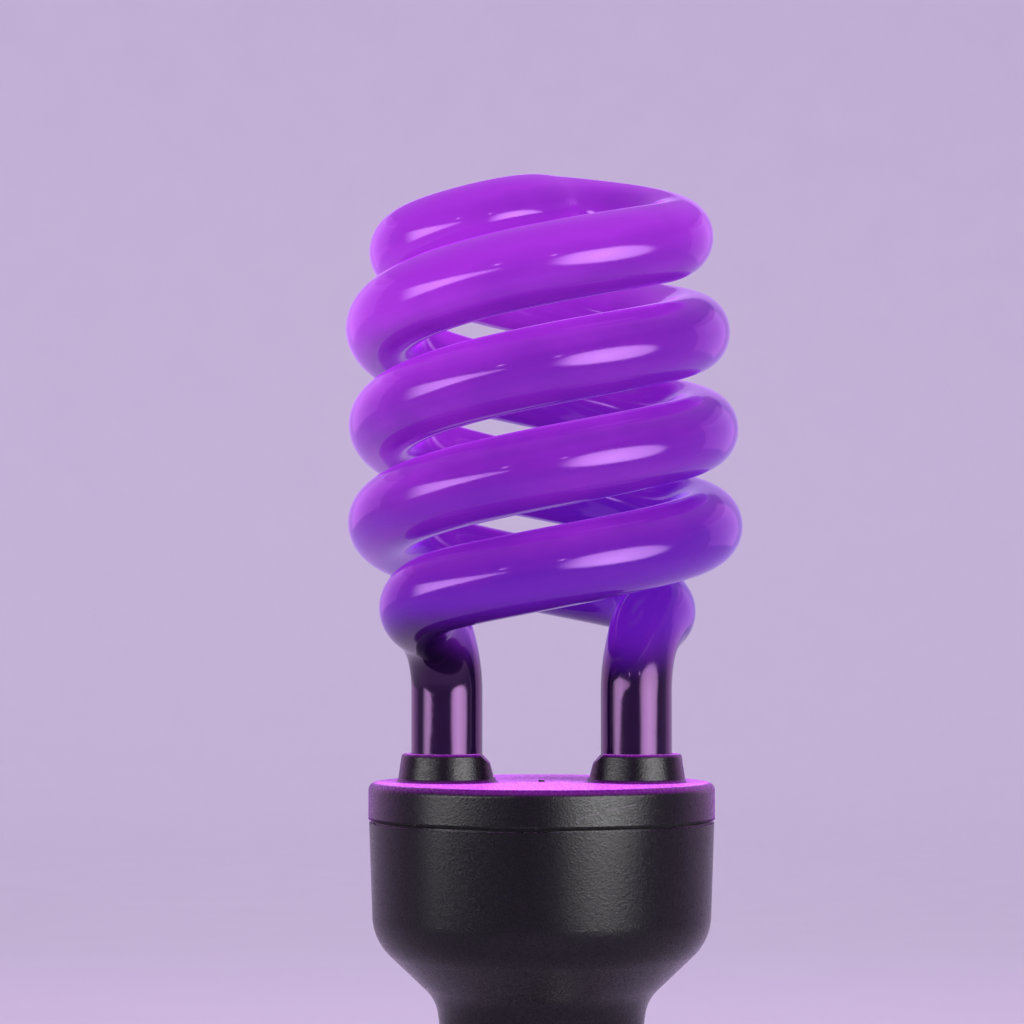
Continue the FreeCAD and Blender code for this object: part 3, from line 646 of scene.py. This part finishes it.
# finishes with one speckle each, for what the base and the ballast are made of:
# two tones, speckle size, roughness, metal, relief in millimetres
plainFinishes = {
    "black base glass, pressed": ("#0d0c10", "#1b191f", 6.0, 0.16, 0.0, 0.01),
    "tinned brass, stamped": ("#b9b3a2", "#d9d5c9", 1.6, 0.3, 1.0, 0.02),
    "tube cement, poured": ("#d9d4c8", "#efece4", 0.8, 0.85, 0.0, 0.06),
    "paper laminate, punched": ("#a8763f", "#c08f55", 0.5, 0.6, 0.0, 0.01),
    "capacitor sleeve, shrunk PVC": ("#14161c", "#23262e", 2.5, 0.35, 0.0, 0.01),
    "ferrite, sintered": ("#2a2a2d", "#3d3d41", 0.4, 0.7, 0.0, 0.03),
    "bobbin nylon, moulded": ("#d5cdb6", "#e4decb", 3.0, 0.5, 0.0, 0.01),
    "enamelled copper, wound": ("#8a3f1c", "#b9622f", 0.35, 0.35, 1.0, 0.08),
    "black epoxy, moulded": ("#141416", "#242427", 0.3, 0.55, 0.0, 0.01),
    "film capacitor coat, dipped": ("#7a1f16", "#96301f", 1.2, 0.4, 0.0, 0.02),
    "resistor coat, baked": ("#7fa7a5", "#98bdb9", 0.9, 0.45, 0.0, 0.01),
    "copper wire, tinned": ("#b8b7b4", "#d6d5d1", 0.6, 0.3, 1.0, 0.01),
}
plainNodes = {
    "black base glass, pressed": ["base_insulator"],
    "tinned brass, stamped": ["centre_contact"],
    "tube cement, poured": ["left_tube_cement", "right_tube_cement"],
    "paper laminate, punched": ["circuit_board"],
    "capacitor sleeve, shrunk PVC": ["storage_capacitor"],
    "ferrite, sintered": ["choke_core", "drive_ring", "input_choke_core"],
    "bobbin nylon, moulded": ["choke_bobbin"],
    "enamelled copper, wound": ["choke_winding", "input_choke_winding"],
    "black epoxy, moulded": ["upper_transistor", "lower_transistor"]
                            + ["rectifier_diode_%d" % number for number in range(1, 5)],
    "film capacitor coat, dipped": ["resonant_capacitor", "blocking_capacitor"],
    "resistor coat, baked": ["fuse_resistor"],
    "copper wire, tinned": ["contact_lead", "fuse_lead", "shell_lead"]
                           + ["wrap_pin_%d" % number for number in range(1, 5)]
                           + ["filament_lead_%d" % number for number in range(1, 5)],
}
plainSpeckle = {
    "darkAt": 0.38,
    "lightAt": 0.62,
    "roughFrom": 0.35,
    "roughTo": 0.65,
    "smoother": 0.85,
    "rougher": 1.15,
    "strength": 0.4,
}


def makePlainFinish(law, name, dark, light, speckleMm, roughness, metal, relief):
    material, tree, shader, spot = newMaterial(name)
    speckle = addNode(tree, "ShaderNodeTexNoise", {"Vector": spot, "Scale": 1 / speckleMm, "Detail": 4.0})
    tone = addNode(tree, "ShaderNodeValToRGB", {"Fac": speckle.outputs["Fac"]})
    setStops(tone, [(law["darkAt"], dark), (law["lightAt"], light)])
    gloss = addNode(tree, "ShaderNodeMapRange", {
        "Value": speckle.outputs["Fac"], "From Min": law["roughFrom"], "From Max": law["roughTo"],
        "To Min": roughness * law["smoother"], "To Max": min(1.0, roughness * law["rougher"])})
    bump = addNode(tree, "ShaderNodeBump", {
        "Height": speckle.outputs["Fac"], "Strength": law["strength"], "Distance": relief * mm})
    tree.links.new(tone.outputs["Color"], shader.inputs["Base Color"])
    tree.links.new(gloss.outputs["Result"], shader.inputs["Roughness"])
    tree.links.new(bump.outputs["Normal"], shader.inputs["Normal"])
    shader.inputs["Metallic"].default_value = metal
    return material


for finishName, finishValues in plainFinishes.items():
    finishMaterial = makePlainFinish(plainSpeckle, finishName, *finishValues)
    for nodeName in plainNodes[finishName]:
        finishNode(nodeName, finishMaterial)
print("base and ballast finished")

# pale matt paper round the lamp: floor, curve and wall turned as one sheet, so that every side has the same
# ground, with a faint cloudiness in the fibres
studio = {
    "dark": "#e2d3ef",
    "pale": "#e3d5f0",
    "darkAt": 0.3,
    "paleAt": 0.7,
    "fibreMm": 25.0,
    "roughness": 0.95,
    "floorRadius": 0.9,
    "floorRings": (0.1, 0.4, 0.7),
    "underLamp": 0.0002,
    "curveRadius": 0.6,
    "curveSteps": 16,
    "wallTop": 0.8,
    "sides": 96,
}


def makePaperSweep(law):
    material, tree, shader, spot = newMaterial("studio paper, matt")
    fibre = addNode(tree, "ShaderNodeTexNoise", {"Vector": spot, "Scale": 1 / law["fibreMm"], "Detail": 3.0})
    tone = addNode(tree, "ShaderNodeValToRGB", {"Fac": fibre.outputs["Fac"]})
    setStops(tone, [(law["darkAt"], law["dark"]), (law["paleAt"], law["pale"])])
    tree.links.new(tone.outputs["Color"], shader.inputs["Base Color"])
    shader.inputs["Roughness"].default_value = law["roughness"]
    # outline of the sheet, radius and height, from near the middle outwards
    line = [(law["floorRadius"] * share, 0.0) for share in law["floorRings"]]
    for step in range(law["curveSteps"] + 1):
        turn = math.pi / 2 * step / law["curveSteps"]
        line.append((law["floorRadius"] + law["curveRadius"] * math.sin(turn),
                     law["curveRadius"] * (1 - math.cos(turn))))
    line.append((law["floorRadius"] + law["curveRadius"], law["wallTop"]))
    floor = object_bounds()[0].z - law["underLamp"]
    count = law["sides"]
    turns = [2 * math.pi * k / count for k in range(count)]
    points = [(radius * math.cos(turn), radius * math.sin(turn), floor + height)
              for radius, height in line for turn in turns]
    faces = []
    for i in range(len(line) - 1):
        for k in range(count):
            n = (k + 1) % count
            faces.append((i * count + k, (i + 1) * count + k, (i + 1) * count + n, i * count + n))
    faces.append(tuple(range(count)))
    return meshPiece("paper_sweep", points, faces, material)


makePaperSweep(studio)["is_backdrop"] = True

# softboxes left and right of the camera, two rims behind, two small lamps near the camera, and a ceiling and
# a wall light that only fill: the boxes fade towards their edges, the left one narrows towards one end, and
# the right one is round
softboxes = {
    "leftBox": {
        "shape": "RECTANGLE", "place": (-0.3, -0.225, 0.115), "aim": (0, 0, 0.14),
        "width": 0.5, "height": 0.21, "roll": 6.0, "spread": 100.0, "radiance": 10.0,
        "narrow": 0.9, "roundness": 0.0},
    "rightBox": {
        "shape": "RECTANGLE", "place": (0.205, -0.245, 0.115), "aim": (0, 0, 0.14),
        "width": 0.46, "height": 0.21, "spread": 100.0, "radiance": 13.0,
        "narrow": 0.0, "roundness": 1.0},
    "leftRim": {
        "shape": "RECTANGLE", "place": (-0.355, 0.277, 0.21), "aim": (0, 0, 0.17),
        "width": 0.345, "height": 0.34, "spread": 130.0, "radiance": 0.9, "colour": "#e890f0"},
    "rightRim": {
        "shape": "RECTANGLE", "place": (0.355, 0.277, 0.21), "aim": (0, 0, 0.17),
        "width": 0.345, "height": 0.34, "spread": 130.0, "radiance": 0.9, "colour": "#e890f0"},
    "rightDot": {
        "shape": "DISK", "place": (0.1, -0.62, 0.27), "aim": (0, 0, 0.11),
        "width": 0.035, "height": 0.035, "radiance": 12.0},
    "leftDot": {
        "shape": "DISK", "place": (-0.25, -0.56, 0.27), "aim": (0, 0, 0.11),
        "width": 0.035, "height": 0.035, "radiance": 12.0},
    "ceilingPanel": {
        "shape": "RECTANGLE", "place": (0, -0.2, 1.7), "aim": (0, 0, 0),
        "width": 1.4, "height": 1.4, "radiance": 0.7, "fillOnly": True},
    "wallStrip": {
        "shape": "RECTANGLE", "place": (0, 0.45, 1.5), "aim": (0, 1.5, 0.45),
        "width": 2.2, "height": 0.3, "radiance": 4.5, "fillOnly": True},
}
# how far out a box keeps its full brightness, as a squared share of the way to its edge, and the share of its
# half width over which one end fades in
softEdge = {"fullWithin": 0.5, "endFade": 0.6}


# brightness across a softbox: full in the middle, none above, below and at one end, narrowing to the other
def shapeSoftbox(lamp, law, edge):
    lamp.use_nodes = True
    tree = lamp.node_tree
    across = addNode(tree, "ShaderNodeSeparateXYZ", {
        "Vector": addNode(tree, "ShaderNodeNewGeometry").outputs["Parametric"]}).outputs
    # from 0 to 1 over the box, to -1 to 1
    side = addNode(tree, "ShaderNodeMath", {0: across["X"], 1: 2.0, 2: -1.0}, operation="MULTIPLY_ADD")
    up = addNode(tree, "ShaderNodeMath", {0: across["Y"], 1: 2.0, 2: -1.0}, operation="MULTIPLY_ADD")
    tall = addNode(tree, "ShaderNodeMapRange", {
        "Value": side.outputs["Value"], "From Min": -1.0, "From Max": 1.0,
        "To Min": 1.0, "To Max": 1 - law["narrow"]})
    upShare = addNode(tree, "ShaderNodeMath", {
        0: up.outputs["Value"], 1: tall.outputs["Result"]}, operation="DIVIDE")
    upSquare = addNode(tree, "ShaderNodeMath", {0: upShare.outputs["Value"], 1: 2.0}, operation="POWER")
    sideShare = addNode(tree, "ShaderNodeMath", {
        0: side.outputs["Value"], 1: law["roundness"]}, operation="MULTIPLY")
    away = addNode(tree, "ShaderNodeMath", {
        0: sideShare.outputs["Value"], 1: sideShare.outputs["Value"], 2: upSquare.outputs["Value"],
    }, operation="MULTIPLY_ADD")
    middle = addNode(tree, "ShaderNodeMapRange", {
        "Value": away.outputs["Value"], "From Min": 1.0, "From Max": edge["fullWithin"],
        "To Min": 0.0, "To Max": 1.0,
    }, interpolation_type="SMOOTHSTEP")
    farEnd = addNode(tree, "ShaderNodeMapRange", {
        "Value": side.outputs["Value"], "From Min": -1.0, "From Max": edge["endFade"] - 1.0,
    }, interpolation_type="SMOOTHSTEP")
    glow = addNode(tree, "ShaderNodeMath", {
        0: middle.outputs["Result"], 1: farEnd.outputs["Result"]}, operation="MULTIPLY")
    tree.links.new(glow.outputs["Value"], tree.nodes["Emission"].inputs["Strength"])


for boxName, box in softboxes.items():
    lamp = bpy.data.objects.new(boxName, bpy.data.lights.new(boxName, "AREA"))
    lamp.data.shape = box["shape"]
    lamp.data.size = box["width"]
    lamp.data.size_y = box["height"]
    fullness = 1 if box["shape"] == "RECTANGLE" else math.pi / 4
    lamp.data.energy = box["radiance"] * math.pi * box["width"] * box["height"] * fullness
    if "spread" in box:  # a grid on the box keeps its light off the floor, and would brighten its middle
        half = math.radians(box["spread"]) / 2
        lamp.data.spread = 2 * half
        lamp.data.energy *= 1 - half / math.tan(half)
    if "narrow" in box:
        shapeSoftbox(lamp.data, box, softEdge)
    lamp.location = box["place"]
    lamp.rotation_mode = "QUATERNION"
    turned = (Vector(box["place"]) - Vector(box["aim"])).to_track_quat("Z", "Y")
    lamp.rotation_quaternion = turned @ Quaternion((0, 0, 1), math.radians(box.get("roll", 0.0)))
    lamp.data.color = hexColour(box.get("colour", "#ffffff"))[:3]
    lamp.visible_camera = False
    lamp.visible_glossy = "fillOnly" not in box  # the fills leave no mirror image
    scene.collection.objects.link(lamp)

# dim at the horizon and bright overhead, like a high white ceiling
skyLight = {"low": "#46424c", "high": "#b4aebc", "lowAt": 0.1, "highAt": 0.85, "strength": 0.75}
world = bpy.data.worlds.new("studio sky")
scene.world = world
world.use_nodes = True
skyTree = world.node_tree
sky = skyTree.nodes["Background"]
skyward = addNode(skyTree, "ShaderNodeSeparateXYZ", {
    "Vector": addNode(skyTree, "ShaderNodeTexCoord").outputs["Generated"]}).outputs["Z"]
ceiling = addNode(skyTree, "ShaderNodeValToRGB", {"Fac": skyward})
setStops(ceiling, [(skyLight["lowAt"], skyLight["low"]), (skyLight["highAt"], skyLight["high"])])
skyTree.links.new(ceiling.outputs["Color"], sky.inputs["Color"])
sky.inputs["Strength"].default_value = skyLight["strength"]
print("studio lit")
